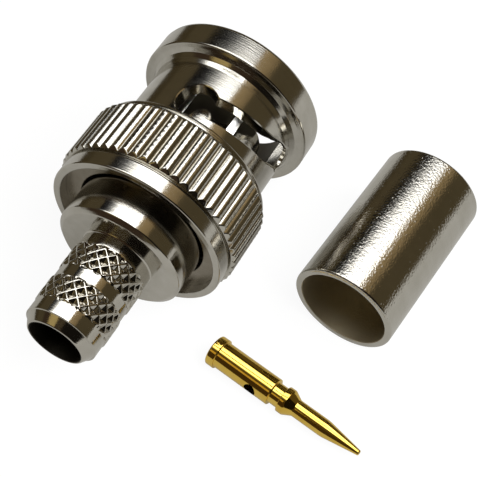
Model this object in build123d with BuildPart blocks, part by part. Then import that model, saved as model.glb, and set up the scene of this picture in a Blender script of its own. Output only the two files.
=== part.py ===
"""Coaxial crimp plug with a bayonet coupling nut, laid out in its three loose pieces: the plug itself, its
crimp ferrule and its gold centre contact, each lying on the same level surface.

Lengths are in millimetres. The plug's axis is X and points out of its nose, the nut's front mouth is at X = 0,
and Z points up. An angle round the plug is counted from the top towards the ferrule's side, which is -Y.
"""

import os
from math import asin, cos, hypot, pi, radians, sin, sqrt

from build123d import *

# Clearances between pieces that move or slide against each other.
end_float = 0.02
collar_clearance = 0.15
flange_clearance = 0.20
finger_flex_gap = 0.15
gasket_clearance = 0.15
contact_hole_clearance = 0.08
braid_space = 0.6

# Coupling nut, outside.
flange_height = 1.25
flange_length = 2.4
flange_edge_round = 0.3
flange_edge_chamfer = 0.15
neck_wall = 1.07
neck_length = 6.4
neck_fillet = 0.8
shoulder_fillet = 0.3
shoulder_land = 0.6
shoulder_chamfer = 0.3
knurl_wall = 1.0
knurl_depth = 0.25
knurl_length = 4.75
knurl_tooth_count = 54
knurl_tip_flat = 0.06
rim_groove_width = 0.2
rim_groove_depth = 0.2
rim_length = 1.25
rim_wall = 0.6
rim_chamfer = 0.12

# Coupling nut, inside.
jack_wall_space = 0.88
mouth_lead_in = 0.5
chamber_length = 2.05
ring_step = 0.3
rim_recess_depth = 0.85

# Bayonet track, cut through the neck on two opposite sides.
track_width = 2.4
track_slant = 1.05
detent_radius = 1.8
detent_angle = 3.0
detent_setback = 6.65
track_angles = (14.0, 30.0, 45.0, 60.0, 72.0, 84.0, 94.0)
track_setbacks = (6.55, 6.28, 6.0, 5.6, 5.15, 4.55, 4.0)
lug_channel_depth = 0.72

# Retaining ring, thrust washer and wave washer.
ring_thickness = 0.7
ring_edge_chamfer = 0.1
thrust_washer_thickness = 0.25
wave_washer_thickness = 0.2
wave_count = 3

# Body: collar, flange and crimp stem turned in one piece.
body_flange_length = 0.9
body_flange_overlap = 1.17
collar_step = 1.0
collar_chamfer = 0.4
collar_chamfer_length = 0.3
collar_rear_setback = 18.1
stem_bore_radius = 2.12
stem_wall = 0.74
stem_end_wall = 0.18
stem_length = 8.0
stem_lead_in_step = 0.1
stem_lead_in_length = 0.7
stem_root_fillet = 0.12
stem_knurl_front_land = 1.05
stem_knurl_length = 2.1
stem_knurl_gap = 0.95
stem_knurl_rise = 0.09
stem_knurl_count = 19
stem_knurl_turn = 2.8
stem_knurl_rows = 5
diamond_ridge = 0.1
diamond_depth = 0.23
diamond_floor = 0.03
diamond_rise = 0.04

# Spring contact, insulators and gasket.
finger_wall = 0.6
finger_front_setback = 3.7
finger_slot_width = 0.7
finger_slot_count = 6
finger_slot_angle = -19.2
finger_slot_root_length = 1.6
finger_tip_round = 0.2
shank_step = 0.3
shank_length = 3.2
insulator_radius = 3.3
insulator_front_recess = 0.2
insulator_wall = 0.85
insulator_base_length = 3.7
rear_insulator_length = 2.0
gasket_length = 0.95

# Crimp ferrule.
ferrule_wall = 0.565
ferrule_length = 13.45
ferrule_edge_chamfer = 0.12
ferrule_near_end = (-12.11, -15.56)
ferrule_heading = -5.04

# Centre contact.
contact_barrel_radius = 1.08
contact_barrel_end = 5.65
contact_flange_height = 0.14
contact_flange_length = 0.7
contact_flange_chamfer = 0.1
contact_neck_depth = 0.23
contact_collar_start = 6.5
contact_collar_step = 0.03
contact_collar_end = 7.0
contact_cone_end = 7.7
contact_pin_radius = 0.675
contact_taper_start = 10.3
contact_tip_radius = 0.2
contact_length = 13.35
wire_bore_radius = 0.62
wire_bore_depth = 5.0
sight_hole_radius = 0.5
sight_hole_station = 4.12
sight_hole_turn = 84.0
contact_rear_end = (-18.22, -8.11)
contact_heading = -99.43

# Stations along the plug's axis, counted back from the mouth.
flange_rear_x = -flange_length
shoulder_x = flange_rear_x - neck_length
knurl_front_x = shoulder_x - shoulder_land
knurl_rear_x = knurl_front_x - knurl_length
rim_front_x = knurl_rear_x - rim_groove_width
nut_rear_x = rim_front_x - rim_length
ring_rear_x = nut_rear_x + rim_recess_depth
ring_front_x = ring_rear_x + ring_thickness
chamber_front_x = ring_front_x + chamber_length
body_front_x = chamber_front_x - end_float
body_flange_rear_x = body_front_x - body_flange_length
thrust_washer_rear_x = body_flange_rear_x - thrust_washer_thickness
wave_height = thrust_washer_rear_x - ring_front_x
collar_rear_x = -collar_rear_setback
stem_rear_x = collar_rear_x - stem_length
finger_front_x = -finger_front_setback
finger_root_x = body_front_x + gasket_length
shank_rear_x = body_front_x - shank_length
rear_insulator_rear_x = shank_rear_x - rear_insulator_length
insulator_front_x = finger_front_x - insulator_front_recess
insulator_well_x = shank_rear_x + insulator_base_length

# Radii of the plug, from its insulator outwards: each follows from the piece inside it.
insulator_well_radius = insulator_radius - insulator_wall
finger_bore_radius = insulator_radius + finger_flex_gap
finger_radius = finger_bore_radius + finger_wall
shank_radius = finger_radius - shank_step
mating_bore_radius = finger_radius + jack_wall_space
gasket_radius = mating_bore_radius - gasket_clearance
lug_channel_radius = mating_bore_radius + lug_channel_depth
neck_radius = mating_bore_radius + neck_wall
flange_radius = neck_radius + flange_height
body_flange_radius = mating_bore_radius + body_flange_overlap
collar_radius = body_flange_radius - collar_step
ring_bore_radius = collar_radius + collar_clearance
chamber_radius = body_flange_radius + flange_clearance
ring_seat_radius = chamber_radius + ring_step
rim_radius = ring_seat_radius + rim_wall
knurl_root_radius = chamber_radius + knurl_wall
knurl_tip_radius = knurl_root_radius + knurl_depth
knurl_land_radius = knurl_root_radius - rim_groove_depth
floor_z = -max(knurl_tip_radius, flange_radius)

# Radii of the stem, of the ferrule that goes over it and of the centre contact.
stem_radius = stem_bore_radius + stem_wall
stem_ridge_radius = stem_radius + stem_knurl_rise
ferrule_bore_radius = stem_ridge_radius + braid_space
ferrule_radius = ferrule_bore_radius + ferrule_wall
contact_hole_radius = contact_barrel_radius + contact_hole_clearance
contact_flange_radius = contact_barrel_radius + contact_flange_height
contact_neck_radius = contact_barrel_radius - contact_neck_depth
contact_collar_radius = contact_barrel_radius - contact_collar_step


def plane_through_axis(angle):
    """Half-plane that holds the plug's axis, with its own Y pointing outwards at the given angle."""
    outward = Vector(0, -sin(radians(angle)), cos(radians(angle)))
    return Plane(origin=(0, 0, 0), x_dir=(1, 0, 0), z_dir=Vector(1, 0, 0).cross(outward))


def plane_across_neck(angle, x, radius):
    """Plane square to the radius at the given angle, lying at that radius."""
    outward = Vector(0, -sin(radians(angle)), cos(radians(angle)))
    return Plane(origin=Vector(x, 0, 0) + outward * radius, x_dir=(1, 0, 0), z_dir=outward)


# One bayonet track: a ramp that climbs towards the nose, with a round detent at its closed end and a round
# start over the lug channel. It is cut a little wider along the axis, because it runs at a slant.
track_low = mating_bore_radius - 0.6
track_high = neck_radius + 1.2
with BuildPart() as bayonet_track:
    for angle, setback in zip(track_angles, track_setbacks):
        with BuildSketch(plane_through_axis(angle)):
            with Locations((-setback, (track_low + track_high) / 2)):
                Rectangle(track_width * track_slant, track_high - track_low)
    loft()
    with BuildSketch(plane_across_neck(detent_angle, -detent_setback, track_low)):
        Circle(detent_radius)
    extrude(amount=track_high - track_low)
    with BuildSketch(plane_across_neck(track_angles[-1], -track_setbacks[-1], track_low)):
        Circle(track_width / 2)
    extrude(amount=track_high - track_low)

# Coupling nut: flange, neck, straight knurl and rear rim, hollow for the jack and the spring parts.
with BuildPart() as coupling_nut:
    with BuildSketch(Plane.XZ):
        with BuildLine():
            Polyline(
                (-mouth_lead_in, mating_bore_radius),
                (0, mating_bore_radius + mouth_lead_in),
                (0, flange_radius - flange_edge_round),
            )
            CenterArc(
                (-flange_edge_round, flange_radius - flange_edge_round), flange_edge_round, 0, 90
            )
            Polyline(
                (-flange_edge_round, flange_radius),
                (flange_rear_x + flange_edge_chamfer, flange_radius),
                (flange_rear_x, flange_radius - flange_edge_chamfer),
                (flange_rear_x, neck_radius + neck_fillet),
            )
            CenterArc((flange_rear_x - neck_fillet, neck_radius + neck_fillet), neck_fillet, 0, -90)
            Line(
                (flange_rear_x - neck_fillet, neck_radius),
                (shoulder_x + shoulder_fillet, neck_radius),
            )
            CenterArc(
                (shoulder_x + shoulder_fillet, neck_radius + shoulder_fillet), shoulder_fillet, 270, -90
            )
            Polyline(
                (shoulder_x, neck_radius + shoulder_fillet),
                (shoulder_x, knurl_land_radius - shoulder_chamfer),
                (shoulder_x - shoulder_chamfer, knurl_land_radius),
                (knurl_front_x, knurl_land_radius),
                (knurl_front_x, knurl_root_radius),
                (knurl_front_x - knurl_depth, knurl_tip_radius),
                (knurl_rear_x + knurl_depth, knurl_tip_radius),
                (knurl_rear_x, knurl_root_radius),
                (knurl_rear_x, rim_radius - rim_groove_depth),
                (rim_front_x, rim_radius - rim_groove_depth),
                (rim_front_x, rim_radius),
                (nut_rear_x + rim_chamfer, rim_radius),
                (nut_rear_x, rim_radius - rim_chamfer),
                (nut_rear_x, ring_seat_radius + rim_chamfer / 2),
                (nut_rear_x + rim_chamfer / 2, ring_seat_radius),
                (ring_front_x, ring_seat_radius),
                (ring_front_x, chamber_radius),
                (chamber_front_x, chamber_radius),
                (chamber_front_x, mating_bore_radius),
                (-mouth_lead_in, mating_bore_radius),
            )
        make_face()
    revolve(axis=Axis.X)
    # Straight knurl: one shallow vee between each pair of teeth.
    half_pitch = pi * knurl_tip_radius / knurl_tooth_count
    half_vee = half_pitch - knurl_tip_flat / 2
    with BuildSketch(Plane.YZ.offset(knurl_rear_x - rim_groove_width / 2)):
        with PolarLocations(knurl_root_radius, knurl_tooth_count, start_angle=90):
            Polygon(
                (0, 0),
                (knurl_depth, half_vee),
                (2 * knurl_depth, half_vee),
                (2 * knurl_depth, -half_vee),
                (knurl_depth, -half_vee),
                align=None,
            )
    extrude(amount=knurl_length + rim_groove_width, mode=Mode.SUBTRACT)
    # Two bayonet tracks, and the channel that lets each of the jack's lugs in from the mouth.
    add(bayonet_track.part, mode=Mode.SUBTRACT)
    add(bayonet_track.part.rotate(Axis.X, 180), mode=Mode.SUBTRACT)
    with BuildSketch(Plane.YZ.offset(-track_setbacks[-1])):
        with PolarLocations(lug_channel_radius / 2, 2, start_angle=90 + track_angles[-1]):
            Rectangle(lug_channel_radius, track_width)
    extrude(amount=track_setbacks[-1] + 1, mode=Mode.SUBTRACT)

# Ring pressed into the nut's rear recess, which keeps the spring parts and the body in.
with BuildPart() as retaining_ring:
    with BuildSketch(Plane.YZ.offset(ring_rear_x)):
        Circle(ring_seat_radius)
        Circle(ring_bore_radius, mode=Mode.SUBTRACT)
    extrude(amount=ring_thickness)
    chamfer(retaining_ring.edges().filter_by(GeomType.CIRCLE).group_by(Axis.X)[0], ring_edge_chamfer)

# Flat washer between the body's flange and the spring.
with BuildPart() as thrust_washer:
    with BuildSketch(Plane.YZ.offset(thrust_washer_rear_x)):
        Circle(body_flange_radius)
        Circle(ring_bore_radius, mode=Mode.SUBTRACT)
    extrude(amount=thrust_washer_thickness)

# Diamond knurl of the stem: rows of pits, each row half a pitch round from the next, which leave a net of
# narrow ridges. The outer rows run out at the ends of the band.
knurl_row_pitch = stem_knurl_length / (stem_knurl_rows - 0.67)
diamond_half_length = knurl_row_pitch - diamond_ridge / sqrt(2)
diamond_half_width = pi * stem_ridge_radius / stem_knurl_count - diamond_ridge / sqrt(2)
diamond_reach = diamond_half_length * diamond_half_width / hypot(diamond_half_length, diamond_half_width)
diamond_mouth = diamond_reach + (diamond_reach - diamond_floor) * diamond_rise / diamond_depth
with BuildPart() as knurl_pit:
    for side, mode in ((1, Mode.ADD), (-1, Mode.INTERSECT)):
        run = Vector(diamond_half_length, side * diamond_half_width, 0)
        across = Vector(0, 0, 1).cross(run)
        with BuildSketch(Plane(origin=(0, 0, stem_ridge_radius), x_dir=across, z_dir=run)):
            Polygon(
                (diamond_mouth, diamond_rise),
                (-diamond_mouth, diamond_rise),
                (-diamond_floor, -diamond_depth),
                (diamond_floor, -diamond_depth),
                align=None,
            )
        extrude(amount=2 * knurl_row_pitch, both=True, mode=mode)
pit_spots = []
for row in range(stem_knurl_rows):
    row_x = (row - (stem_knurl_rows - 1) / 2) * knurl_row_pitch
    for step in range(stem_knurl_count):
        turn = stem_knurl_turn + (step + (row + 1) % 2 / 2) * 360 / stem_knurl_count
        pit_spots.append(Location((row_x, 0, 0), (turn, 0, 0)))
with BuildPart() as knurl_pits:
    with Locations(*pit_spots):
        add(knurl_pit.part)
    with BuildSketch(Plane.YZ.offset(-stem_knurl_length / 2)):
        Circle(2 * stem_ridge_radius)
    extrude(amount=stem_knurl_length, mode=Mode.INTERSECT)

# Body: thin tail stem, collar and flange in one turned piece.
knurl_2_rear_x = collar_rear_x - stem_knurl_front_land - stem_knurl_length
knurl_1_rear_x = knurl_2_rear_x - stem_knurl_gap - stem_knurl_length
with BuildPart() as plug_body:
    with BuildSketch(Plane.XZ):
        with BuildLine():
            Polyline(
                (stem_rear_x, stem_bore_radius),
                (stem_rear_x, stem_bore_radius + stem_end_wall),
                (stem_rear_x + stem_lead_in_length, stem_radius - stem_lead_in_step),
                (stem_rear_x + stem_lead_in_length, stem_radius),
                (collar_rear_x - stem_root_fillet, stem_radius),
                (collar_rear_x, stem_radius + stem_root_fillet),
                (collar_rear_x, collar_radius - collar_chamfer),
                (collar_rear_x + collar_chamfer_length, collar_radius),
                (body_flange_rear_x, collar_radius),
                (body_flange_rear_x, body_flange_radius),
                (body_front_x, body_flange_radius),
                (body_front_x, shank_radius),
                (shank_rear_x, shank_radius),
                (shank_rear_x, insulator_radius),
                (rear_insulator_rear_x, insulator_radius),
                (rear_insulator_rear_x, stem_bore_radius),
                (stem_rear_x, stem_bore_radius),
            )
        make_face()
    revolve(axis=Axis.X)
    # The bands stand a little proud of the stem, with one flat for each row of pits along it.
    with BuildSketch(Plane.YZ.offset(knurl_1_rear_x), Plane.YZ.offset(knurl_2_rear_x)):
        RegularPolygon(
            stem_ridge_radius,
            2 * stem_knurl_count,
            rotation=90 + stem_knurl_turn + 90 / stem_knurl_count,
        )
        Circle(stem_bore_radius + stem_wall / 2, mode=Mode.SUBTRACT)
    extrude(amount=stem_knurl_length)
    with Locations((knurl_1_rear_x + stem_knurl_length / 2, 0), (knurl_2_rear_x + stem_knurl_length / 2, 0)):
        add(knurl_pits.part, mode=Mode.SUBTRACT)

# Spring contact: a sleeve slit into fingers, with a shank pressed into the body.
with BuildPart() as spring_contact:
    with BuildSketch(Plane.XZ):
        with BuildLine():
            Polyline(
                (finger_front_x - finger_tip_round, finger_bore_radius),
                (finger_front_x, finger_bore_radius + finger_tip_round),
                (finger_front_x, finger_radius - finger_tip_round),
            )
            CenterArc(
                (finger_front_x - finger_tip_round, finger_radius - finger_tip_round),
                finger_tip_round,
                0,
                90,
            )
            Polyline(
                (finger_front_x - finger_tip_round, finger_radius),
                (body_front_x, finger_radius),
                (body_front_x, shank_radius),
                (shank_rear_x, shank_radius),
                (shank_rear_x, insulator_radius),
                (finger_root_x, insulator_radius),
                (finger_root_x, finger_bore_radius),
                (finger_front_x - finger_tip_round, finger_bore_radius),
            )
        make_face()
    revolve(axis=Axis.X)
    slot_length = finger_front_x - finger_root_x - finger_slot_root_length / 4
    with BuildSketch(Plane.YZ.offset(finger_front_x)):
        with PolarLocations(finger_radius, finger_slot_count, start_angle=90 + finger_slot_angle):
            Rectangle(4 * finger_wall, finger_slot_width)
    extrude(amount=-slot_length, mode=Mode.SUBTRACT)

# Front insulator: a base in the shank and a tube that lines the fingers.
with BuildPart() as front_insulator:
    with BuildSketch(Plane.XZ):
        with BuildLine():
            Polyline(
                (shank_rear_x, contact_hole_radius),
                (shank_rear_x, insulator_radius),
                (insulator_front_x, insulator_radius),
                (insulator_front_x, insulator_well_radius),
                (insulator_well_x, insulator_well_radius),
                (insulator_well_x, contact_hole_radius),
                (shank_rear_x, contact_hole_radius),
            )
        make_face()
    revolve(axis=Axis.X)

# Rear insulator: a short bead that backs the front one.
with BuildPart() as rear_insulator:
    with BuildSketch(Plane.YZ.offset(rear_insulator_rear_x)):
        Circle(insulator_radius)
        Circle(contact_hole_radius, mode=Mode.SUBTRACT)
    extrude(amount=rear_insulator_length)

# Soft gasket that the jack's end seals against.
with BuildPart() as gasket:
    with BuildSketch(Plane.YZ.offset(body_front_x)):
        Circle(gasket_radius)
        Circle(finger_radius, mode=Mode.SUBTRACT)
    extrude(amount=gasket_length)

# Crimp ferrule: a plain tube lying on its side.
ferrule_axis = Vector(cos(radians(ferrule_heading)), sin(radians(ferrule_heading)), 0)
ferrule_plane = Plane(
    origin=(ferrule_near_end[0], ferrule_near_end[1], floor_z + ferrule_radius), z_dir=ferrule_axis
)
with BuildPart() as crimp_ferrule:
    with BuildSketch(ferrule_plane):
        Circle(ferrule_radius)
        Circle(ferrule_bore_radius, mode=Mode.SUBTRACT)
    extrude(amount=ferrule_length)
    chamfer(crimp_ferrule.edges().filter_by(GeomType.CIRCLE), ferrule_edge_chamfer)

# Centre contact: it rests on its rear flange and its front collar, so its nose dips slightly.
contact_dip = asin((contact_flange_radius - contact_collar_radius) / contact_collar_end)
contact_axis = Vector(
    cos(radians(contact_heading)) * cos(contact_dip),
    sin(radians(contact_heading)) * cos(contact_dip),
    -sin(contact_dip),
)
contact_side = Vector(sin(radians(contact_heading)), -cos(radians(contact_heading)), 0)
contact_plane = Plane(
    origin=(contact_rear_end[0], contact_rear_end[1], floor_z + contact_flange_radius * cos(contact_dip)),
    x_dir=contact_axis,
    z_dir=contact_side,
)
with BuildPart() as centre_contact:
    with BuildSketch(contact_plane):
        with BuildLine():
            Polyline(
                (0, 0),
                (0, contact_flange_radius - contact_flange_chamfer),
                (contact_flange_chamfer, contact_flange_radius),
                (contact_flange_length, contact_flange_radius),
                (contact_flange_length, contact_barrel_radius),
                (contact_barrel_end, contact_barrel_radius),
                (contact_barrel_end, contact_neck_radius),
                (contact_collar_start, contact_neck_radius),
                (contact_collar_start, contact_collar_radius),
                (contact_collar_end, contact_collar_radius),
                (contact_cone_end, contact_pin_radius),
                (contact_taper_start, contact_pin_radius),
                (contact_length, contact_tip_radius),
                (contact_length, 0),
                (0, 0),
            )
        make_face()
    revolve(axis=Axis(contact_plane.origin, contact_plane.x_dir))
    with BuildSketch(Plane(origin=contact_plane.origin, z_dir=contact_plane.x_dir)):
        Circle(wire_bore_radius)
    extrude(amount=wire_bore_depth, mode=Mode.SUBTRACT)
    sight_outward = contact_plane.y_dir.rotate(Axis((0, 0, 0), contact_axis), sight_hole_turn)
    with BuildSketch(
        Plane(origin=contact_plane.origin + contact_axis * sight_hole_station, z_dir=sight_outward)
    ):
        Circle(sight_hole_radius)
    extrude(amount=2 * contact_barrel_radius, mode=Mode.SUBTRACT)

# Wave washer: a thin ring bent into even waves, filling the height between the thrust washer and the ring.
wave_mid_radius = (ring_bore_radius + body_flange_radius) / 2
wave_width = (body_flange_radius - ring_bore_radius) * 0.8
wave_swing = (wave_height - wave_washer_thickness) / 2
wave_mid_x = ring_front_x + wave_height / 2
wave_steps = 8 * wave_count
with BuildPart() as wave_washer:
    for start in (0, wave_steps // 2):
        for step in range(start, start + wave_steps // 2 + 1):
            turn = 360 * step / wave_steps
            with BuildSketch(plane_through_axis(turn)):
                with Locations((wave_mid_x + wave_swing * cos(radians(wave_count * turn)), wave_mid_radius)):
                    Rectangle(wave_washer_thickness, wave_width)
        loft()

nodes = {
    "coupling_nut": coupling_nut,
    "retaining_ring": retaining_ring,
    "thrust_washer": thrust_washer,
    "wave_washer": wave_washer,
    "plug_body": plug_body,
    "spring_contact": spring_contact,
    "front_insulator": front_insulator,
    "rear_insulator": rear_insulator,
    "gasket": gasket,
    "crimp_ferrule": crimp_ferrule,
    "centre_contact": centre_contact,
}
os.makedirs("parts", exist_ok=True)
for name, builder in nodes.items():
    builder.part.label = name
    export_step(builder.part, f"parts/{name}.step")
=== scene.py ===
"""Coaxial bayonet crimp plug with its crimp ferrule and centre contact: dressed pieces, light and camera."""

import logging
import math
from dataclasses import dataclass
from enum import Enum
from typing import Callable, Iterable, Sequence

import bmesh
import bpy
from mathutils import Matrix, Vector


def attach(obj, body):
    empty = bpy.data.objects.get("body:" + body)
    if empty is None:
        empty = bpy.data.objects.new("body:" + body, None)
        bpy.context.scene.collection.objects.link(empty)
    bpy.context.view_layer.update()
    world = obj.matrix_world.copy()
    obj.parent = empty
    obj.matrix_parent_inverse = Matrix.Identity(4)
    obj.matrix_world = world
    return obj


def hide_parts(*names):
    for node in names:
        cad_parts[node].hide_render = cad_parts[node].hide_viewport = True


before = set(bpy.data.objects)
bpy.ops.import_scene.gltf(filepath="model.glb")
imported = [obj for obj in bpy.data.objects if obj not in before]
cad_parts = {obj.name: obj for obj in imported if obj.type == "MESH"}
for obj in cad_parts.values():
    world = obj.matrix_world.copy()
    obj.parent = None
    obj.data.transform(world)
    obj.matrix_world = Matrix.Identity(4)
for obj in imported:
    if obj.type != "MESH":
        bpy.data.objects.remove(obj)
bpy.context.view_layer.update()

LOG = logging.getLogger("crimp_plug")

# Sizes below are in millimetres, as on a drawing. Every mesh is scaled to metres when it is finished.
# A section's side longer than LONG_SIDE gets a strip of EDGE_STRIP at each end, which keeps its shading true.
MM = 0.001
FLOOR_Z = -7.55
CORNER_STEPS = 3
SHARP_ANGLE = math.radians(32)
LONG_SIDE = 0.4
EDGE_STRIP = 0.04
WELD = 1e-4
HAIR = 1e-3
# Depth in metres that a mark or a grain has at full strength.
MARK_DEPTH = 1e-5

Point = tuple[float, float, float]


class Body(Enum):
    """The moving bodies that a piece can ride on."""

    PLUG = "plug"
    SPRING = "spring"
    NUT = "nut"


def turned(section: Sequence[Point], steps: int, closed: bool = True) -> bmesh.types.BMesh:
    """Turns a section round the X axis, as a lathe would.

    Args:
        section: corners as (station, radius, corner rounding), in order.
        steps: number of steps round the axis.
        closed: whether the last corner joins the first.

    Returns:
        The turned mesh, still in millimetres.
    """
    bm = bmesh.new()
    corners = [bm.verts.new((x, 0, r)) for x, r, _ in section]
    for a, b in zip(corners, corners[1:] + corners[:1] if closed else corners[1:]):
        bm.edges.new((a, b))
    for soft in sorted({s for _, _, s in section if s > 0}):
        picked = [v for v, (_, _, s) in zip(corners, section) if s == soft]
        bmesh.ops.bevel(
            bm,
            geom=picked,
            offset=soft,
            offset_type="OFFSET",
            affect="VERTICES",
            segments=CORNER_STEPS,
            profile=0.5,
            material=-1,
        )
    for edge in [e for e in bm.edges if e.calc_length() > LONG_SIDE]:
        first, last = edge.verts
        near = bmesh.utils.edge_split(edge, first, EDGE_STRIP / edge.calc_length())[1]
        span = next(e for e in near.link_edges if e.other_vert(near) is last)
        bmesh.utils.edge_split(span, last, EDGE_STRIP / span.calc_length())
    bmesh.ops.spin(
        bm,
        geom=bm.verts[:] + bm.edges[:],
        cent=(0, 0, 0),
        axis=(1, 0, 0),
        dvec=(0, 0, 0),
        angle=math.tau,
        steps=steps,
        use_merge=True,
        use_duplicate=False,
    )
    bmesh.ops.remove_doubles(bm, verts=bm.verts, dist=WELD)
    bmesh.ops.recalc_face_normals(bm, faces=bm.faces)
    return bm


def round_the_axis(co: Vector) -> tuple[float, float]:
    """Gives a point's radius and its angle in degrees, from the top towards the ferrule's side."""
    return math.hypot(co.y, co.z), math.degrees(math.atan2(-co.y, co.z))


def set_radius(vert: bmesh.types.BMVert, radius: float) -> None:
    """Moves a vertex straight in or out to the given radius.

    Args:
        vert: the vertex.
        radius: its new distance from the axis.
    """
    here = math.hypot(vert.co.y, vert.co.z)
    vert.co.y *= radius / here
    vert.co.z *= radius / here


def finished(bm: bmesh.types.BMesh, name: str, place: Matrix | None = None) -> bpy.types.Object:
    """Scales a mesh to metres, puts it in its place and makes it an object with smooth faces and sharp edges.

    Args:
        bm: the mesh in millimetres, which is used up.
        name: the piece's name.
        place: where the piece lies, in millimetres.

    Returns:
        The new object, at the origin.
    """
    if place is not None:
        bmesh.ops.transform(bm, matrix=place, verts=bm.verts)
    bmesh.ops.scale(bm, vec=(MM, MM, MM), verts=bm.verts)
    mesh = bpy.data.meshes.new(name)
    bm.to_mesh(mesh)
    bm.free()
    for face in mesh.polygons:
        face.use_smooth = True
    mesh.set_sharp_from_angle(angle=SHARP_ANGLE)
    piece = bpy.data.objects.new(name, mesh)
    bpy.context.scene.collection.objects.link(piece)
    return piece


def weigh_normals(piece: bpy.types.Object) -> None:
    """Lets the large faces rule the shading, so that a small edge round doesn't bend a long reflection.

    Args:
        piece: the piece whose shading is evened.
    """
    weighted = piece.modifiers.new("even_reflections", "WEIGHTED_NORMAL")
    weighted.mode = "FACE_AREA"
    weighted.weight = 100
    weighted.thresh = 1e-9
    weighted.keep_sharp = True


def settle(piece: bpy.types.Object) -> None:
    """Makes the result of a piece's modifiers its own mesh.

    Args:
        piece: the piece whose modifiers are used up.
    """
    graph = bpy.context.evaluated_depsgraph_get()
    made = bpy.data.meshes.new_from_object(piece.evaluated_get(graph))
    piece.modifiers.clear()
    piece.data = made


def cut_away(piece: bpy.types.Object, tools: Iterable[bmesh.types.BMesh]) -> None:
    """Cuts each tool's shape out of a piece.

    Args:
        piece: the piece that is cut.
        tools: closed meshes in millimetres, which are used up.
    """
    for number, bm in enumerate(tools):
        tool = finished(bm, f"tool_{number}")
        cut = piece.modifiers.new("cut", "BOOLEAN")
        cut.operation = "DIFFERENCE"
        cut.solver = "EXACT"
        cut.object = tool
        settle(piece)
        bpy.data.objects.remove(tool)
    piece.data.set_sharp_from_angle(angle=SHARP_ANGLE)


def box_tool(low: Sequence[float], high: Sequence[float], turn: float) -> bmesh.types.BMesh:
    """Makes a box turned about the plug's axis.

    Args:
        low: lowest corner before the turn.
        high: highest corner before the turn.
        turn: angle from the top towards the ferrule's side, in degrees.

    Returns:
        The box as a mesh in millimetres.
    """
    bm = bmesh.new()
    size = Vector(high) - Vector(low)
    place = Matrix.Translation((Vector(low) + Vector(high)) / 2) @ Matrix.Diagonal((*size, 1))
    bmesh.ops.create_cube(bm, size=1, matrix=place)
    bmesh.ops.rotate(bm, cent=(0, 0, 0), matrix=Matrix.Rotation(math.radians(turn), 3, "X"), verts=bm.verts)
    return bm


def dress(piece: bpy.types.Object, finish: "Finish", body: Body, *nodes: str) -> bpy.types.Object:
    """Gives a new piece its finish, sets it on its body and lets it stand for its solids.

    Args:
        piece: the new piece.
        finish: the finish that it wears.
        body: the body that it moves with.
        nodes: the solids that it stands for.

    Returns:
        The same piece.
    """
    piece.data.materials.clear()
    piece.data.materials.append(finish.material())
    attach(piece, body.value)
    if nodes:
        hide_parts(*nodes)
    LOG.info("%s: %d faces, rides on %s", piece.name, len(piece.data.polygons), body.value)
    return piece


class Graph:
    """A short way to write shader nodes."""

    def __init__(self, tree: bpy.types.NodeTree) -> None:
        """Starts on an empty tree."""
        self.tree = tree
        self.column = 0

    def node(self, kind: str, settings: dict | None = None, **inputs: object) -> bpy.types.Node:
        """Adds a node.

        Args:
            kind: the node's type.
            settings: properties to set on the node.
            inputs: values or sockets for its inputs, by name with _ for a space, or by i and a number.

        Returns:
            The node.
        """
        made = self.tree.nodes.new(kind)
        made.location = (self.column * 180, 0)
        self.column += 1
        for key, value in (settings or {}).items():
            setattr(made, key, value)
        for key, value in inputs.items():
            place = int(key[1:]) if key[0] == "i" and key[1:].isdigit() else key.replace("_", " ")
            self.feed(made.inputs[place], value)
        return made

    def feed(self, socket: bpy.types.NodeSocket, value: object) -> None:
        """Links a socket to an input, or sets the input's value."""
        if isinstance(value, bpy.types.NodeSocket):
            self.tree.links.new(value, socket)
        else:
            socket.default_value = value

    def math(self, operation: str, *values: object) -> bpy.types.NodeSocket:
        """Adds one step of arithmetic.

        Args:
            operation: the step's name.
            values: numbers or sockets, in order.

        Returns:
            The step's result.
        """
        made = self.node("ShaderNodeMath", {"operation": operation})
        for socket, value in zip(made.inputs, values):
            self.feed(socket, value)
        return made.outputs[0]

    def weighed(self, first: object, share: object, second: object, other: object) -> bpy.types.NodeSocket:
        """Adds two values, the first times its share and the second times the other share."""
        return self.math("ADD", self.math("MULTIPLY", first, share), self.math("MULTIPLY", second, other))

    def blend(self, factor: object, first: object, second: object) -> bpy.types.NodeSocket:
        """Mixes two colours.

        Args:
            factor: 0 for the first colour, 1 for the second.
            first: the first colour.
            second: the second colour.

        Returns:
            The mixed colour.
        """
        made = self.node("ShaderNodeMix", {"data_type": "RGBA"})
        for index, value in ((0, factor), (6, first), (7, second)):
            self.feed(made.inputs[index], value)
        return made.outputs[2]

    def spread(self, value: object, low: float, high: float) -> bpy.types.NodeSocket:
        """Stretches a value from 0-1 to the given range."""
        made = self.node("ShaderNodeMapRange", {"clamp": True}, Value=value, To_Min=low, To_Max=high)
        return made.outputs[0]

    def noise(self, where: object, scale: object, detail: float = 2.0) -> bpy.types.NodeSocket:
        """Adds a noise pattern and gives its strength."""
        return self.node("ShaderNodeTexNoise", Vector=where, Scale=scale, Detail=detail).outputs[0]


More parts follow.
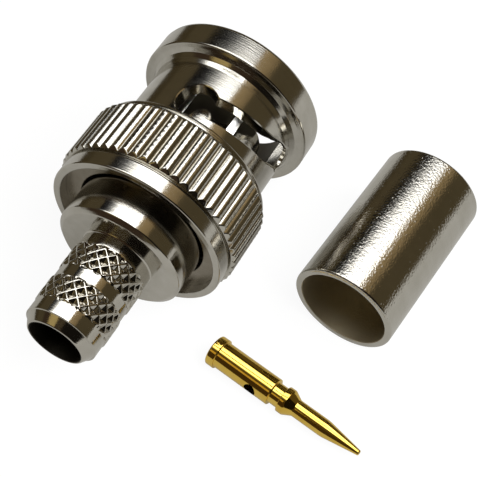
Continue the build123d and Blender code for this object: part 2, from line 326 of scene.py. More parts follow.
def effect(
    name: str, inputs: dict[str, tuple[str, object]], outputs: dict[str, str], wire: Callable
) -> bpy.types.NodeTree:
    """Makes a node group once and gives it again when it is asked for.

    Args:
        name: the group's name.
        inputs: each input's kind and starting value.
        outputs: each output's kind.
        wire: function that is handed the graph and the group's inputs and returns a socket for each output.

    Returns:
        The group.
    """
    if name in bpy.data.node_groups:
        return bpy.data.node_groups[name]
    tree = bpy.data.node_groups.new(name, "ShaderNodeTree")
    for key, (kind, start) in inputs.items():
        socket = tree.interface.new_socket(key, in_out="INPUT", socket_type=kind)
        if start is not None:
            socket.default_value = start
    for key, kind in outputs.items():
        tree.interface.new_socket(key, in_out="OUTPUT", socket_type=kind)
    graph = Graph(tree)
    entry = graph.node("NodeGroupInput")
    made = wire(graph, entry.outputs)
    leave = graph.node("NodeGroupOutput")
    for key, socket in made.items():
        graph.feed(leave.inputs[key], socket)
    return tree


def turning_marks() -> bpy.types.NodeTree:
    """Fine rings left by the lathe, on sides and faces alike, with faint broad waves."""

    def wire(graph: Graph, given: bpy.types.NodeOutputs) -> dict:
        """Rings follow the station along the axis and the radius together."""
        parts = graph.node("ShaderNodeSeparateXYZ", Vector=given["Vector"]).outputs
        radius = graph.math("SQRT", graph.weighed(parts[1], parts[1], parts[2], parts[2]))
        line = graph.node("ShaderNodeCombineXYZ", X=parts[0], Y=radius, Z=0.0).outputs[0]
        fine = graph.noise(line, given["Scale"], 3.0)
        broad = graph.noise(line, graph.math("MULTIPLY", given["Scale"], 0.16), 1.0)
        height = graph.weighed(fine, 0.6, broad, 0.4)
        return {"Height": height, "Tone": broad, "Radius": radius, "Station": parts[0]}

    return effect(
        "turning_marks",
        {"Vector": ("NodeSocketVector", None), "Scale": ("NodeSocketFloat", 12000.0)},
        {key: "NodeSocketFloat" for key in ("Height", "Tone", "Radius", "Station")},
        wire,
    )


def plated_grain() -> bpy.types.NodeTree:
    """Grain of a plated skin: a fine orange peel, sparse pits and cloudy tone."""

    def wire(graph: Graph, given: bpy.types.NodeOutputs) -> dict:
        """The peel is fine noise, the pits are the dark cores of small cells."""
        peel = graph.noise(given["Vector"], given["Scale"], 3.0)
        cloud = graph.noise(given["Vector"], graph.math("MULTIPLY", given["Scale"], 0.12), 3.0)
        wide = graph.math("MULTIPLY", given["Scale"], 0.35)
        cells = graph.node(
            "ShaderNodeTexVoronoi", {"feature": "F1"}, Vector=given["Vector"], Scale=wide
        ).outputs[0]
        pits = graph.node(
            "ShaderNodeMapRange", {"clamp": True}, Value=cells, From_Min=0.02, From_Max=0.16
        ).outputs[0]
        return {"Height": graph.weighed(peel, 0.8, pits, given["Pits"]), "Cloud": cloud}

    return effect(
        "plated_grain",
        {
            "Vector": ("NodeSocketVector", None),
            "Scale": ("NodeSocketFloat", 6000.0),
            "Pits": ("NodeSocketFloat", 0.2),
        },
        {key: "NodeSocketFloat" for key in ("Height", "Cloud")},
        wire,
    )


@dataclass(frozen=True)
class Finish:
    """A surface finish: what the skin is made of and how it was worked.

    Attributes:
        pale, deep: the two colours that the cloudy tone runs between.
        smooth, rough: the roughness at the pale and at the deep colour.
        marks, grain: strength of the lathe's rings and of the skin's grain.
        axis, centre: turn and place of a piece that doesn't lie on the plug's axis.
        bore: radius within which, up to the station bore_end, the dull inside begins, painted darker as
            painted shade deep in the bore.
    """

    name: str
    slot: str
    pale: Point
    deep: Point
    smooth: float
    rough: float
    marks: float
    grain: float
    metallic: float = 1.0
    grain_scale: float = 9000.0
    mark_scale: float = 7000.0
    pits: float = 0.2
    axis: Point = (0.0, 0.0, 0.0)
    centre: Point = (0.0, 0.0, 0.0)
    bore: float = 0.0
    bore_end: float = 50.0
    # Darker colour painted inside a bore as painted shade.
    bore_painted_shade: Point = (0.05, 0.045, 0.035)
    bore_rough: float = 0.6

    def material(self) -> bpy.types.Material:
        """Builds the material, or gives the one already built."""
        if self.name in bpy.data.materials:
            return bpy.data.materials[self.name]
        made = bpy.data.materials.new(self.name)
        made.use_nodes = True
        tree = made.node_tree
        graph = Graph(tree)
        shader = tree.nodes["Principled BSDF"]
        where = graph.node("ShaderNodeTexCoord").outputs["Object"]
        lined = graph.node(
            "ShaderNodeMapping",
            {"vector_type": "TEXTURE"},
            Vector=where,
            Location=Vector(self.centre) * MM,
            Rotation=self.axis,
        ).outputs[0]
        rings = graph.node(
            "ShaderNodeGroup", {"node_tree": turning_marks()}, Vector=lined, Scale=self.mark_scale
        ).outputs
        skin = graph.node(
            "ShaderNodeGroup",
            {"node_tree": plated_grain()},
            Vector=lined,
            Scale=self.grain_scale,
            Pits=self.pits,
        ).outputs
        tone = graph.weighed(skin["Cloud"], 0.6, rings["Tone"], 0.4)
        tone = graph.node(
            "ShaderNodeMapRange", {"clamp": True}, Value=tone, From_Min=0.35, From_Max=0.65
        ).outputs[0]
        colour = graph.blend(tone, (*self.deep, 1), (*self.pale, 1))
        rough = graph.spread(tone, self.rough, self.smooth)
        # Inside a bore the colour is painted darker, as painted shade for the depth of the bore, and the skin
        # is made rougher.
        if self.bore:
            near = graph.math("LESS_THAN", rings["Radius"], self.bore * MM)
            before = graph.math("LESS_THAN", rings["Station"], self.bore_end * MM)
            inside = graph.math("MULTIPLY", near, before)
            colour = graph.blend(inside, colour, (*self.bore_painted_shade, 1))
            rough = graph.math("MAXIMUM", rough, graph.math("MULTIPLY", inside, self.bore_rough))
        graph.feed(shader.inputs["Base Color"], colour)
        graph.feed(shader.inputs["Roughness"], rough)
        shader.inputs["Metallic"].default_value = self.metallic
        height = graph.weighed(rings["Height"], self.marks, skin["Height"], self.grain)
        bump = graph.node("ShaderNodeBump", Strength=1.0, Distance=MARK_DEPTH, Height=height)
        graph.feed(shader.inputs["Normal"], bump.outputs[0])
        return made


NICKEL_PALE = (0.57, 0.55, 0.50)
NICKEL_DEEP = (0.51, 0.49, 0.435)
NICKEL = Finish(
    "bright_nickel",
    "nickel_nut",
    NICKEL_PALE,
    NICKEL_DEEP,
    smooth=0.11,
    rough=0.16,
    marks=0.6,
    grain=0.5,
    # Inside the nut's bore the nickel is painted nearly black, as painted shade in the bore and behind the
    # tracks.
    bore=4.97,
    bore_painted_shade=(0.10, 0.09, 0.07),
)
NICKEL_BODY = Finish(
    "bright_nickel_body",
    "nickel_body",
    NICKEL_PALE,
    NICKEL_DEEP,
    smooth=0.09,
    rough=0.14,
    marks=0.6,
    grain=0.4,
    # Inside the stem's bore the nickel is painted nearly black, as painted shade deep in the bore.
    bore=2.2,
)
# The ring's nickel is painted about half as bright, as painted shade of the nut's rear recess that the ring
# sits in.
RECESS_SHADED_NICKEL = Finish(
    "ring_nickel_painted_shade",
    "nickel_ring",
    (0.30, 0.27, 0.22),
    (0.24, 0.21, 0.16),
    smooth=0.20,
    rough=0.28,
    marks=1.5,
    grain=0.5,
)
NICKEL_FINGERS = Finish(
    "finger_nickel", "nickel_contact", NICKEL_PALE, NICKEL_DEEP, smooth=0.08, rough=0.13, marks=0.8, grain=0.4
)
WASHER_STEEL = Finish(
    "washer_steel",
    "washer_steel",
    (0.50, 0.49, 0.47),
    (0.42, 0.41, 0.39),
    smooth=0.24,
    rough=0.34,
    marks=1.5,
    grain=1.0,
)
INSULATOR_WHITE = Finish(
    "insulator_white",
    "white_insulator",
    (0.90, 0.90, 0.90),
    (0.86, 0.86, 0.855),
    metallic=0.0,
    smooth=0.42,
    rough=0.52,
    marks=1.0,
    grain=0.6,
)
GASKET_RED = Finish(
    "gasket_rubber",
    "gasket_rubber",
    (0.42, 0.06, 0.03),
    (0.34, 0.045, 0.025),
    metallic=0.0,
    smooth=0.5,
    rough=0.62,
    marks=0.0,
    grain=2.0,
)
FERRULE_SKIN = Finish(
    "ferrule_nickel",
    "nickel_ferrule",
    NICKEL_PALE,
    NICKEL_DEEP,
    smooth=0.08,
    rough=0.12,
    marks=0.3,
    grain=2.5,
    grain_scale=6200.0,
    pits=0.4,
    axis=(0.0, 0.0, math.radians(-5.04)),
    centre=(-12.11, -15.56, FLOOR_Z + 4.115),
    # The tube's inside is painted a darker, warmer tone, as painted shade inside the tube.
    bore=3.6,
    bore_painted_shade=(0.52, 0.46, 0.33),
)
GOLD = Finish(
    "contact_gold",
    "gold",
    (0.88, 0.62, 0.13),
    (0.80, 0.53, 0.09),
    smooth=0.06,
    rough=0.10,
    marks=0.12,
    grain=0.05,
    axis=(0.0, 0.0, math.radians(-99.43)),
    centre=(-18.22, -8.11, FLOOR_Z + 1.22),
    # The solder bore is painted dark brown, as painted shade deep in the bore.
    bore=0.64,
    bore_end=5.4,
    bore_painted_shade=(0.10, 0.055, 0.012),
)


@dataclass
class CouplingNut:
    """Bayonet nut: flange, neck with two tracks, straight knurl and rear rim, with the ring pressed in it."""

    flange_radius: float = 7.25
    flange_rear: float = -2.4
    neck_radius: float = 6.0
    shoulder: float = -8.8
    knurl_front: float = -9.4
    knurl_rear: float = -14.15
    knurl_root: float = 7.30
    knurl_tip: float = 7.55
    teeth: int = 54
    steps_per_tooth: int = 12
    crest_stations: int = 34
    crest_step: float = 0.125
    crest_ripple: float = 0.035
    crest_share: float = 0.7
    end_steps: int = 5
    end_step: float = 0.05
    rim_front: float = -14.35
    rear: float = -15.6
    rim_radius: float = 7.2
    bore: float = 4.93
    chamber: float = 6.3
    ring_seat: float = 6.6
    ring_bore: float = 5.25
    ring_rear: float = -14.75
    ring_front: float = -14.05
    channel_floor: float = 5.65
    track_columns: int = 132
    detent_centre: tuple[float, float] = (-6.65, 3.0)
    detent_radius: float = 1.8
    track_end: tuple[float, float] = (-4.0, 94.0)
    track_half_width: float = 1.2
    front_edge: tuple[tuple[float, float], ...] = (
        (10, -5.42), (15, -5.34), (22, -5.20), (30, -5.05), (39, -4.90),
        (51.5, -4.66), (64, -4.24), (78, -3.45), (94, -2.78), (110, -2.4),
    )
    rear_edge: tuple[tuple[float, float], ...] = (
        (10, -7.86), (15, -7.80), (31.6, -7.5), (39, -7.40), (45, -7.26), (56, -7.0),
        (65, -6.75), (73.6, -6.4), (84, -5.85), (94, -5.22), (110, -4.6),
    )

    def section(self) -> list[Point]:
        """Lists the nut's section, from the mouth over the outside to the rear and back through the bore.

        Returns:
            The corners as (station, radius, corner rounding).
        """
        flange, neck, root = self.flange_radius, self.neck_radius, self.knurl_root
        land = root - 0.2
        step, crest = self.end_step, self.crest_step
        first_crest = self.knurl_front - self.end_steps * step
        return [
            (-0.5, self.bore, 0.08),
            (0, self.bore + 0.5, 0.06),
            (0, flange, 0.3),
            (self.flange_rear, flange, 0.14),
            (self.flange_rear, neck, 0.8),
            (self.shoulder, neck, 0.28),
            (self.shoulder, land, 0.16),
            (-9.08, land, 0.0),
            (-9.12, land - 0.07, 0.0),
            (-9.2, land - 0.07, 0.0),
            (-9.24, land, 0.0),
            (self.knurl_front, land, 0.04),
            (self.knurl_front, root, 0.0),
            *[(self.knurl_front - step * k, root + step * k, 0.0) for k in range(1, self.end_steps + 1)],
            *[(first_crest - crest * k, self.knurl_tip, 0.0) for k in range(1, self.crest_stations)],
            *[(self.knurl_rear + step * k, root + step * k, 0.0) for k in range(self.end_steps, 0, -1)],
            (self.knurl_rear, root, 0.0),
            (self.knurl_rear, self.rim_radius - 0.2, 0.04),
            (self.rim_front, self.rim_radius - 0.2, 0.04),
            (self.rim_front, self.rim_radius, 0.06),
            (self.rear, self.rim_radius, 0.12),
            (self.rear, self.ring_seat, 0.07),
            (-14.05, self.ring_seat, 0.0),
            (-14.05, self.chamber, 0.0),
            (-12.0, self.chamber, 0.0),
            (-12.0, self.bore, 0.05),
        ]

    def tooth(self, station: float, turn: float) -> float:
        """Gives the knurl's radius at a station and an angle.

        Args:
            station: place along the axis.
            turn: angle round the axis in degrees, with a groove at 0.

        Returns:
            The radius, lower at the chamfered ends of a tooth.
        """
        number, share = divmod(turn * self.teeth / 360, 1)
        rise = 1 - abs(2 * share - 1)
        tooth = self.knurl_root + (self.knurl_tip - self.knurl_root) * (0.05 + 0.93 * (1 - (1 - rise) ** 2))
        end = min(self.knurl_front - station, station - self.knurl_rear)
        crest = self.crest_share
        if rise > crest and end > self.end_steps * self.end_step + 0.01:
            fine = math.sin(station * 37.1 + number * 2.3)
            broad = math.sin(station * 23.7 - number * 4.9 + 12 * share)
            tooth -= self.crest_ripple * (rise - crest) / (1 - crest) * (0.5 + 0.25 * (fine + broad))
        return min(tooth, self.knurl_root + max(end, 0))

    def turned_blank(self) -> bmesh.types.BMesh:
        """Turns the nut and presses the straight knurl into it.

        Returns:
            The blank as a mesh in millimetres, still without tracks.
        """
        bm = turned(self.section(), self.teeth * self.steps_per_tooth)
        for vert in bm.verts:
            radius, turn = round_the_axis(vert.co)
            in_band = self.knurl_rear - HAIR < vert.co.x < self.knurl_front + HAIR
            if radius > self.knurl_root + 0.01 and in_band:
                set_radius(vert, self.tooth(vert.co.x, turn))
        return bm

    def edge_at(self, table: Sequence[tuple[float, float]], turn: float) -> float:
        """Reads a track edge at an angle.

        Args:
            table: angles and stations along the edge, in order.
            turn: the angle in degrees.

        Returns:
            The station, on a smooth line through the table's points.
        """
        for k in range(1, len(table) - 2):
            if turn <= table[k + 1][0]:
                break
        (a0, x0), (a1, x1), (a2, x2), (a3, x3) = table[k - 1 : k + 3]
        t = min(max((turn - a1) / (a2 - a1), -0.5), 1.5)
        m1 = (x2 - x0) / (a2 - a0) * (a2 - a1)
        m2 = (x3 - x1) / (a3 - a1) * (a2 - a1)
        return (
            (2 * t**3 - 3 * t**2 + 1) * x1
            + (t**3 - 2 * t**2 + t) * m1
            + (3 * t**2 - 2 * t**3) * x2
            + (t**3 - t**2) * m2
        )

    def track_span(self, turn: float) -> tuple[float, float]:
        """Finds how far the track reaches along the axis at an angle, with its round detent and round start.

        Args:
            turn: the angle in degrees.

        Returns:
            The stations of the rear and the front edge.
        """
        arc = math.pi * self.neck_radius / 180
        rounds = (self.detent_centre, self.detent_radius), (self.track_end, self.track_half_width)
        spans = []
        for (x, a), radius in rounds:
            half = math.sqrt(max(radius**2 - ((turn - a) * arc) ** 2, 0))
            if half > 0:
                spans.append((x - half, x + half))
        if self.detent_centre[1] + 8 < turn < self.track_end[1]:
            spans.append((self.edge_at(self.rear_edge, turn), self.edge_at(self.front_edge, turn)))
        if not spans:
            x = self.detent_centre[0] if turn < 45 else self.track_end[0]
            return x, x
        return min(s[0] for s in spans), max(s[1] for s in spans)

    @staticmethod
    def pushed(
        bm: bmesh.types.BMesh, faces: list[bmesh.types.BMFace], level: float
    ) -> list[bmesh.types.BMFace]:
        """Draws faces out to a new level.

        Args:
            bm: the mesh.
            faces: the faces that are drawn out.
            level: the level of the new faces.

        Returns:
            The new faces.
        """
        made = bmesh.ops.extrude_face_region(bm, geom=faces)["geom"]
        new = [f for f in made if isinstance(f, bmesh.types.BMFace)]
        for vert in {v for f in new for v in f.verts}:
            vert.co.z = level
        return new

    def track_tool(self, turn: float) -> bmesh.types.BMesh:
        """Makes the shape of one bayonet track, wider where it leaves the neck, so that the edge is broken.

        Args:
            turn: how far the track is turned about the axis, in degrees.

        Returns:
            The tool as a closed mesh.
        """
        arc = math.pi * self.neck_radius / 180
        first = self.detent_centre[1] - self.detent_radius / arc
        last = self.track_end[1] + self.track_half_width / arc
        bm = bmesh.new()
        bmesh.ops.create_grid(bm, x_segments=self.track_columns, y_segments=1, size=1)
        for vert in bm.verts:
            share = (vert.co.x + 1) / 2
            eased = share - 0.55 * math.sin(math.tau * share) / math.tau
            angle = first + (last - first) * eased
            low, high = self.track_span(angle)
            vert.co = Vector((high if vert.co.y > 0 else low, angle, 7.9))
        bmesh.ops.remove_doubles(bm, verts=bm.verts, dist=WELD)
        bmesh.ops.scale(bm, vec=(1, arc, 1), verts=bm.verts)
        lip = self.pushed(bm, bm.faces[:], self.neck_radius + 0.1)
        bmesh.ops.inset_region(bm, faces=lip, thickness=0.17, use_boundary=True, use_even_offset=True)
        for vert in {v for f in lip for v in f.verts}:
            vert.co.z = self.neck_radius - 0.07
        self.pushed(bm, lip, 4.42)
        bmesh.ops.delete(bm, geom=lip, context="FACES")
        for vert in bm.verts:
            angle, radius = vert.co.y / self.neck_radius, vert.co.z
            vert.co.y, vert.co.z = -radius * math.sin(angle), radius * math.cos(angle)
        bmesh.ops.recalc_face_normals(bm, faces=bm.faces)
        if bm.calc_volume(signed=True) < 0:
            bmesh.ops.reverse_faces(bm, faces=bm.faces)
        about_the_axis = Matrix.Rotation(math.radians(turn), 3, "X")
        bmesh.ops.rotate(bm, cent=(0, 0, 0), matrix=about_the_axis, verts=bm.verts)
        return bm

    def build(self) -> None:
        """Makes the nut and the ring pressed into its rear."""
        nut = finished(self.turned_blank(), "coupling_nut_turned")
        start = self.track_end[1]
        channel = (-4.2, -self.track_half_width, 3.0), (1.0, self.track_half_width, self.channel_floor)
        tools = [self.track_tool(0), self.track_tool(180)]
        tools += [box_tool(*channel, start), box_tool(*channel, start + 180)]
        cut_away(nut, tools)
        weigh_normals(nut)
        dress(nut, NICKEL, Body.NUT, "coupling_nut")
        rear, front = self.ring_rear, self.ring_front
        inside, outside = self.ring_bore, self.ring_seat - 0.01
        corners = [(rear, outside, 0.0), (rear, inside, 0.1), (front, inside, 0.05), (front, outside, 0.0)]
        ring = finished(turned(corners, 256), "retaining_ring_turned")
        weigh_normals(ring)
        dress(ring, RECESS_SHADED_NICKEL, Body.NUT, "retaining_ring")


@dataclass
class PlugBody:
    """Body: flange, collar and crimp stem with two bands of diamond knurl, turned in one."""

    front: float = -12.02
    flange_rear: float = -12.92
    flange_radius: float = 6.1
    collar_rear: float = -18.1
    collar_radius: float = 5.1
    stem_rear: float = -26.1
    stem_radius: float = 2.86
    bore: float = 2.12
    ridge_radius: float = 2.95
    pit_depth: float = 0.25
    ridge_width: float = 0.10
    diamond_pitch: float = 0.97
    diamonds: int = 19
    steps_per_diamond: int = 24
    bands: tuple[tuple[float, float, float], ...] = ((-24.27, -22.2, -23.07), (-21.27, -19.14, -20.23))
    ridge_turn: float = 2.8

    def net(self, station: float, turn: float, crossing: float) -> float:
        """Gives the depth of the diamond net: 0 on a ridge, 1 at the bottom of a pit.

        Args:
            station: place along the axis.
            turn: angle round the axis in degrees.
            crossing: station of one crossing of the ridges on the line at ridge_turn.

        Returns:
            The share of the pit's depth.
        """
        along = (station - crossing) / self.diamond_pitch
        around = (turn - self.ridge_turn) * self.diamonds / 360
        shares = [(along + around) % 1, (along - around) % 1]
        rise = min(1 - abs(2 * s - 1) for s in shares)
        crest = self.ridge_width / self.diamond_pitch * 2.2
        if rise < crest:
            return rise * rise / (2 * crest)
        return min((rise - crest / 2) / (1 - crest / 2), 0.94)

    def section(self) -> list[Point]:
        """Lists the body's section, with close stations along the two knurled bands.

        Returns:
            The corners as (station, radius, corner rounding).
        """
        stem = self.stem_radius
        step = self.diamond_pitch / self.steps_per_diamond
        points: list[Point] = [
            (self.stem_rear, self.bore, 0.06),
            (self.stem_rear, 2.3, 0.06),
            (self.stem_rear + 0.7, stem - 0.12, 0.0),
            (self.stem_rear + 0.72, stem, 0.03),
        ]
        for rear, front, crossing in self.bands:
            first = math.ceil((rear - crossing) / step)
            last = math.floor((front - crossing) / step)
            points.append((crossing + first * step - 0.09, stem, 0.0))
            points += [(crossing + k * step, stem + 0.02, 0.0) for k in range(first, last + 1)]
            points.append((crossing + last * step + 0.09, stem, 0.0))
        return points + [
            (self.collar_rear - 0.1, stem, 0.0),
            (self.collar_rear - 0.06, stem + 0.06, 0.0),
            (self.collar_rear, stem + 0.1, 0.0),
            (self.collar_rear, 4.7, 0.05),
            (self.collar_rear + 0.3, self.collar_radius, 0.06),
            (self.flange_rear, self.collar_radius, 0.05),
            (self.flange_rear, self.flange_radius, 0.05),
            (self.front, self.flange_radius, 0.05),
            (self.front, 3.76, 0.0),
            (-15.22, 3.76, 0.0),
            (-15.22, 3.31, 0.0),
            (-17.22, 3.31, 0.0),
            (-17.22, self.bore, 0.05),
        ]

    def build(self) -> None:
        """Turns the body and rolls the diamond knurl into its stem."""
        bm = turned(self.section(), self.diamonds * self.steps_per_diamond)
        for vert in bm.verts:
            radius, turn = round_the_axis(vert.co)
            for rear, front, crossing in self.bands:
                if radius > self.stem_radius + 0.005 and rear - HAIR < vert.co.x < front + HAIR:
                    edge = min(vert.co.x - rear, front - vert.co.x)
                    ease = min(max(edge / 0.12, 0.0), 1.0)
                    top = self.stem_radius + (self.ridge_radius - self.stem_radius) * ease
                    set_radius(vert, top - self.pit_depth * self.net(vert.co.x, turn, crossing) * ease)
        body = finished(bm, "plug_body_turned")
        weigh_normals(body)
        dress(body, NICKEL_BODY, Body.PLUG, "plug_body")


@dataclass
class Inside:
    """What sits in the plug: slit spring contact, white insulators, gasket, washers."""

    finger_front: float = -3.7
    finger_root: float = -11.47
    finger_radius: float = 4.05
    finger_bore: float = 3.45
    slot_width: float = 0.7
    fingers: int = 6
    slot_angle: float = -19.2
    body_front: float = -12.02
    shank_rear: float = -15.22

    def spring_contact(self) -> None:
        """Makes the slit sleeve whose fingers press on the jack."""
        bm = turned(
            [
                (self.finger_front, self.finger_bore, 0.18),
                (self.finger_front, self.finger_radius, 0.2),
                (self.body_front, self.finger_radius, 0.0),
                (self.body_front, 3.75, 0.0),
                (self.shank_rear, 3.75, 0.0),
                (self.shank_rear, 3.31, 0.0),
                (-11.07, 3.31, 0.0),
                (-11.07, self.finger_bore, 0.0),
            ],
            216,
        )
        sleeve = finished(bm, "spring_contact_slit")
        half = self.slot_width / 2
        tools = [
            box_tool((self.finger_root, -half, 2.6), (-3.0, half, 4.6), self.slot_angle + 60 * k)
            for k in range(self.fingers)
        ]
        cut_away(sleeve, tools)
        weigh_normals(sleeve)
        dress(sleeve, NICKEL_FINGERS, Body.PLUG, "spring_contact")

    def insulators(self) -> None:
        """Makes the white tube that lines the fingers."""
        bm = turned(
            [
                (self.shank_rear, 1.16, 0.05),
                (self.shank_rear, 3.3, 0.0),
                (-3.9, 3.3, 0.08),
                (-3.9, 2.45, 0.12),
                (-11.52, 2.45, 0.0),
                (-11.52, 1.16, 0.08),
            ],
            180,
        )
        tube = finished(bm, "front_insulator_turned")
        weigh_normals(tube)
        dress(tube, INSULATOR_WHITE, Body.PLUG, "front_insulator")

    def gasket(self) -> None:
        """Makes the soft ring that the jack's end seals against."""
        bm = turned(
            [
                (self.body_front, 4.06, 0.05),
                (self.body_front, 4.78, 0.05),
                (self.body_front + 0.95, 4.78, 0.25),
                (self.body_front + 0.95, 4.06, 0.2),
            ],
            180,
        )
        ring = finished(bm, "gasket_moulded")
        weigh_normals(ring)
        dress(ring, GASKET_RED, Body.PLUG, "gasket")

    def hidden(self) -> None:
        """Dresses the pieces that keep their solids."""
        for node, finish in (
            ("rear_insulator", INSULATOR_WHITE),
            ("thrust_washer", WASHER_STEEL),
            ("wave_washer", WASHER_STEEL),
        ):
            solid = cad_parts[node]
            for slot in solid.material_slots:
                slot.material = finish.material()
            LOG.info("%s: solid kept, new finish", node)

    def build(self) -> None:
        """Makes every inner piece."""
        self.spring_contact()
        self.insulators()
        self.gasket()
        self.hidden()


@dataclass
class CrimpFerrule:
    """Plain drawn tube that lies on its side."""

    radius: float = 4.115
    wall: float = 0.565
    length: float = 13.45
    near_end: tuple[float, float] = (-12.11, -15.56)
    heading: float = -5.04

    def build(self) -> None:
        """Turns the tube and lays it down."""
        inner = self.radius - self.wall
        bm = turned(
            [
                (0, inner, 0.1),
                (0, self.radius, 0.16),
                (self.length, self.radius, 0.16),
                (self.length, inner, 0.1),
            ],
            256,
        )
        heading = Matrix.Rotation(math.radians(self.heading), 4, "Z")
        place = Matrix.Translation((*self.near_end, FLOOR_Z + self.radius)) @ heading
        tube = finished(bm, "crimp_ferrule_tube", place)
        weigh_normals(tube)
        dress(tube, FERRULE_SKIN, Body.PLUG, "crimp_ferrule")


@dataclass
class CentreContact:
    """Gold pin with a solder bore and a sight hole, lying on its rear flange and its collar."""

    flange_radius: float = 1.22
    collar_radius: float = 1.05
    collar_end: float = 7.0
    rear_end: tuple[float, float] = (-18.22, -8.11)
    heading: float = -99.43
    bore: float = 0.62
    bore_depth: float = 5.0
    hole_station: float = 4.12
    hole_radius: float = 0.5
    hole_turn: float = 84.0

    def build(self) -> None:
        """Turns the pin, drills its sight hole and lays it down."""
        bm = turned(
            [
                (self.bore_depth + 0.3, 0.0, 0.0),
                (self.bore_depth, self.bore, 0.0),
                (0, self.bore, 0.06),
                (0, self.flange_radius, 0.1),
                (0.7, self.flange_radius, 0.05),
                (0.7, 1.08, 0.03),
                (5.65, 1.08, 0.05),
                (5.65, 0.85, 0.04),
                (6.5, 0.85, 0.04),
                (6.5, self.collar_radius, 0.06),
                (self.collar_end, self.collar_radius, 0.06),
                (7.7, 0.675, 0.05),
                (10.3, 0.675, 0.2),
                (13.35, 0.2, 0.08),
                (13.35, 0.0, 0.0),
            ],
            128,
            closed=False,
        )
        dip = math.asin((self.flange_radius - self.collar_radius) / self.collar_end)
        place = (
            Matrix.Translation((*self.rear_end, FLOOR_Z + self.flange_radius * math.cos(dip)))
            @ Matrix.Rotation(math.radians(self.heading), 4, "Z")
            @ Matrix.Rotation(dip, 4, "Y")
        )
        hole = bmesh.new()
        bmesh.ops.create_cone(
            hole,
            cap_ends=True,
            segments=48,
            radius1=self.hole_radius,
            radius2=self.hole_radius + 0.02,
            depth=1.6,
            matrix=Matrix.Translation((self.hole_station, 0, 1.05)),
        )
        round_the_pin = Matrix.Rotation(math.radians(self.hole_turn), 3, "X")
        bmesh.ops.rotate(hole, cent=(0, 0, 0), matrix=round_the_pin, verts=hole.verts)
        pin = finished(bm, "centre_contact_turned")
        cut_away(pin, [hole])
        pin.data.transform(Matrix.Scale(1 / MM, 4))
        pin.data.transform(place)
        pin.data.transform(Matrix.Scale(MM, 4))
        weigh_normals(pin)
        dress(pin, GOLD, Body.PLUG, "centre_contact")


@dataclass(frozen=True)
class Card:
    """A flat card or soft lamp that hangs round the table, hidden from the camera."""

    name: str
    colour: tuple[float, float, float]
    centre: Point
    width: float
    height: float
    level: bool = False
    lights: bool = False
    glow_centre: Point = (0.0, 0.0, 0.0)
    glow_size: Point = (0.0, 0.0, 0.0)
    glow_fade: float = 1.0
    glow_limit: float = 1.0

    def build(self) -> None:
        """Hangs the card, level or facing the object."""
        bm = bmesh.new()
        bmesh.ops.create_grid(bm, x_segments=1, y_segments=1, size=0.5)
        bmesh.ops.scale(bm, vec=(self.width, self.height, 1), verts=bm.verts)
        way = Vector((0, 0, 1)) if self.level else Vector(self.centre)
        turn = Matrix() if self.level else way.to_track_quat("Z", "Y").to_matrix().to_4x4()
        bmesh.ops.transform(bm, matrix=Matrix.Translation(self.centre) @ turn, verts=bm.verts)
        mesh = bpy.data.meshes.new(self.name)
        bm.to_mesh(mesh)
        bm.free()
        card = bpy.data.objects.new(self.name, mesh)
        bpy.context.scene.collection.objects.link(card)
        mesh.materials.append(self.material())
        card.visible_camera = False
        card.visible_diffuse = self.lights
        card.visible_shadow = False

    def material(self) -> bpy.types.Material:
        """Makes the card's even tone, or a lamp's glow that fades outwards from its middle.

        Returns:
            The material.
        """
        made = bpy.data.materials.new(self.name)
        made.use_nodes = True
        graph = Graph(made.node_tree)
        made.node_tree.nodes.remove(made.node_tree.nodes["Principled BSDF"])
        glow = graph.node("ShaderNodeEmission", Color=(*self.colour, 1), Strength=1.0)
        if any(self.glow_size):
            where = graph.node("ShaderNodeTexCoord").outputs["Object"]
            oval = graph.node(
                "ShaderNodeMapping",
                {"vector_type": "TEXTURE"},
                Vector=where,
                Location=self.glow_centre,
                Scale=self.glow_size,
            ).outputs[0]
            away = graph.node("ShaderNodeVectorMath", {"operation": "LENGTH"}, i0=oval).outputs["Value"]
            step = graph.math("DIVIDE", graph.math("SUBTRACT", 1.0, away), self.glow_fade)
            strength = graph.math("MINIMUM", graph.math("EXPONENT", step), self.glow_limit)
            graph.feed(glow.inputs["Strength"], strength)
        graph.feed(made.node_tree.nodes["Material Output"].inputs["Surface"], glow.outputs[0])
        return made


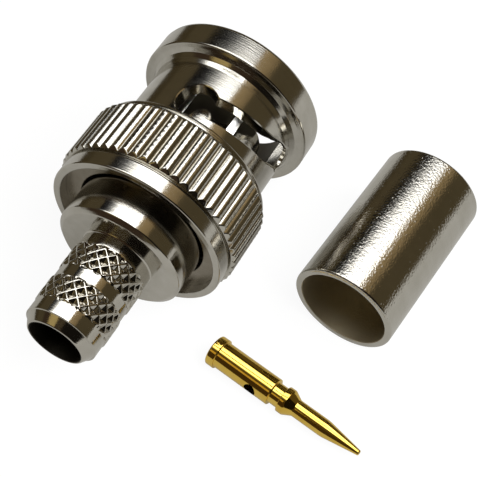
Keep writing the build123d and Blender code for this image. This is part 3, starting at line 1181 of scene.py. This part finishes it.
@dataclass
class Room:
    """Pale floor, soft lamps, plain cards that the metal reflects, and the camera."""

    camera_at: Point = (-0.054897, -0.031367, 0.071590)
    looks_at: Point = (-0.007519, -0.005231, -0.00725)
    lens: float = 85.0
    seen_share: float = 0.94
    mirrored_share: float = 0.85
    mirrored_tone: tuple[float, float, float, float] = (0.36, 0.35, 0.325, 1.0)
    fill_at: Point = (-0.02, -0.18, 0.22)
    fill_power: float = 8.0

    def fill(self) -> None:
        """Hangs a soft lamp that reaches pale surfaces only, not the mirror of the metal."""
        data = bpy.data.lights.new("fill_lamp", "AREA")
        data.energy = self.fill_power
        data.size = 0.25
        lamp = bpy.data.objects.new("fill_lamp", data)
        lamp.location = self.fill_at
        lamp.rotation_mode = "QUATERNION"
        lamp.rotation_quaternion = lamp.location.to_track_quat("Z", "Y")
        lamp.visible_glossy = False
        bpy.context.scene.collection.objects.link(lamp)

    def floor(self) -> None:
        """Lays the floor: nearly white to the eye, greyer in reflections, with a soft shadow."""
        bm = bmesh.new()
        bmesh.ops.create_grid(bm, x_segments=1, y_segments=1, size=1.2)
        bmesh.ops.translate(bm, vec=(0, 0, FLOOR_Z * MM), verts=bm.verts)
        mesh = bpy.data.meshes.new("floor")
        bm.to_mesh(mesh)
        bm.free()
        floor = bpy.data.objects.new("floor", mesh)
        bpy.context.scene.collection.objects.link(floor)
        made = bpy.data.materials.new("white_table")
        made.use_nodes = True
        tree = made.node_tree
        graph = Graph(tree)
        shader = tree.nodes["Principled BSDF"]
        shader.inputs["Base Color"].default_value = (0.22, 0.218, 0.21, 1)
        shader.inputs["Roughness"].default_value = 0.9
        shader.inputs["Specular IOR Level"].default_value = 0.0
        path = graph.node("ShaderNodeLightPath")
        seen = graph.math("MULTIPLY", path.outputs["Is Camera Ray"], self.seen_share)
        bounced = graph.math("ADD", path.outputs["Is Glossy Ray"], path.outputs["Is Transmission Ray"])
        share = graph.math("ADD", seen, graph.math("MULTIPLY", bounced, self.mirrored_share))
        tone = graph.blend(path.outputs["Is Camera Ray"], self.mirrored_tone, (1, 1, 1, 1))
        glow = graph.node("ShaderNodeEmission", Color=tone, Strength=1.0)
        mix = graph.node("ShaderNodeMixShader", Fac=share, i1=shader.outputs[0], i2=glow.outputs[0])
        graph.feed(tree.nodes["Material Output"].inputs["Surface"], mix.outputs[0])
        mesh.materials.append(made)

    def world(self) -> None:
        """Sets the room: white to the eye, dim and warm in the metal, soft fill for pale surfaces."""
        world = bpy.data.worlds.new("room")
        bpy.context.scene.world = world
        world.use_nodes = True
        tree = world.node_tree
        graph = Graph(tree)
        path = graph.node("ShaderNodeLightPath")
        back = tree.nodes["Background"]
        mirrored = graph.blend(path.outputs["Is Glossy Ray"], (0.24, 0.235, 0.225, 1), (0.09, 0.07, 0.037, 1))
        graph.feed(back.inputs["Color"], graph.blend(path.outputs["Is Camera Ray"], mirrored, (1, 1, 1, 1)))
        back.inputs["Strength"].default_value = 1.0

    def surroundings(self) -> list[Card]:
        """Lists the lamps and the cards."""
        return [
            Card(
                "main_lamp", (1.15, 1.15, 1.15), (0.24, 0.27, 0.6), 0.90, 0.96, level=True, lights=True,
                glow_centre=(0.12, -0.21, 0.6), glow_size=(0.322, 0.711, 1.0), glow_fade=0.10, glow_limit=3.0,
            ),
            Card("lamp_bar", (0.36, 0.33, 0.24), (0.03, 0.20, 0.59), 0.08, 0.70, level=True),
            Card(
                "warm_card", (0.25, 0.18, 0.09), (0.36, -0.375, 0.6), 0.72, 0.33, level=True,
                glow_centre=(0.36, -0.21, 0.6), glow_size=(10.0, 0.33, 1.0), glow_fade=1.7, glow_limit=1.8,
            ),
            Card("dark_card", (0.010, 0.008, 0.006), (-0.26, -0.36, 0.27), 0.60, 0.62),
            Card("side_card", (0.05, 0.032, 0.020), (-0.45, 0.16, 0.22), 0.70, 0.45),
            Card("warm_patch", (0.56, 0.42, 0.17), (-0.083, 0.037, 0.073), 0.040, 0.024),
            Card("back_card", (0.06, 0.045, 0.022), (0.03, 0.075, 0.0), 0.30, 0.030),
        ]

    def camera(self) -> None:
        """Sets the camera where the photograph was taken from."""
        data = bpy.data.cameras.new("camera")
        data.lens = self.lens
        data.sensor_width = 36.0
        data.clip_start = 0.005
        data.clip_end = 10.0
        camera = bpy.data.objects.new("camera", data)
        camera.location = self.camera_at
        way = Vector(self.camera_at) - Vector(self.looks_at)
        camera.rotation_mode = "QUATERNION"
        camera.rotation_quaternion = way.to_track_quat("Z", "Y")
        bpy.context.scene.collection.objects.link(camera)
        bpy.context.scene.camera = camera

    def build(self) -> None:
        """Makes the room and sets the view."""
        self.floor()
        self.world()
        for thing in self.surroundings():
            thing.build()
        self.fill()
        self.camera()
        bpy.context.scene.view_settings.view_transform = "Standard"


def main() -> None:
    """Builds the plug, the loose pieces and the room."""
    logging.basicConfig(level=logging.INFO, format="%(message)s")
    CouplingNut().build()
    PlugBody().build()
    Inside().build()
    CrimpFerrule().build()
    CentreContact().build()
    Room().build()


if __name__ == "__main__":
    main()
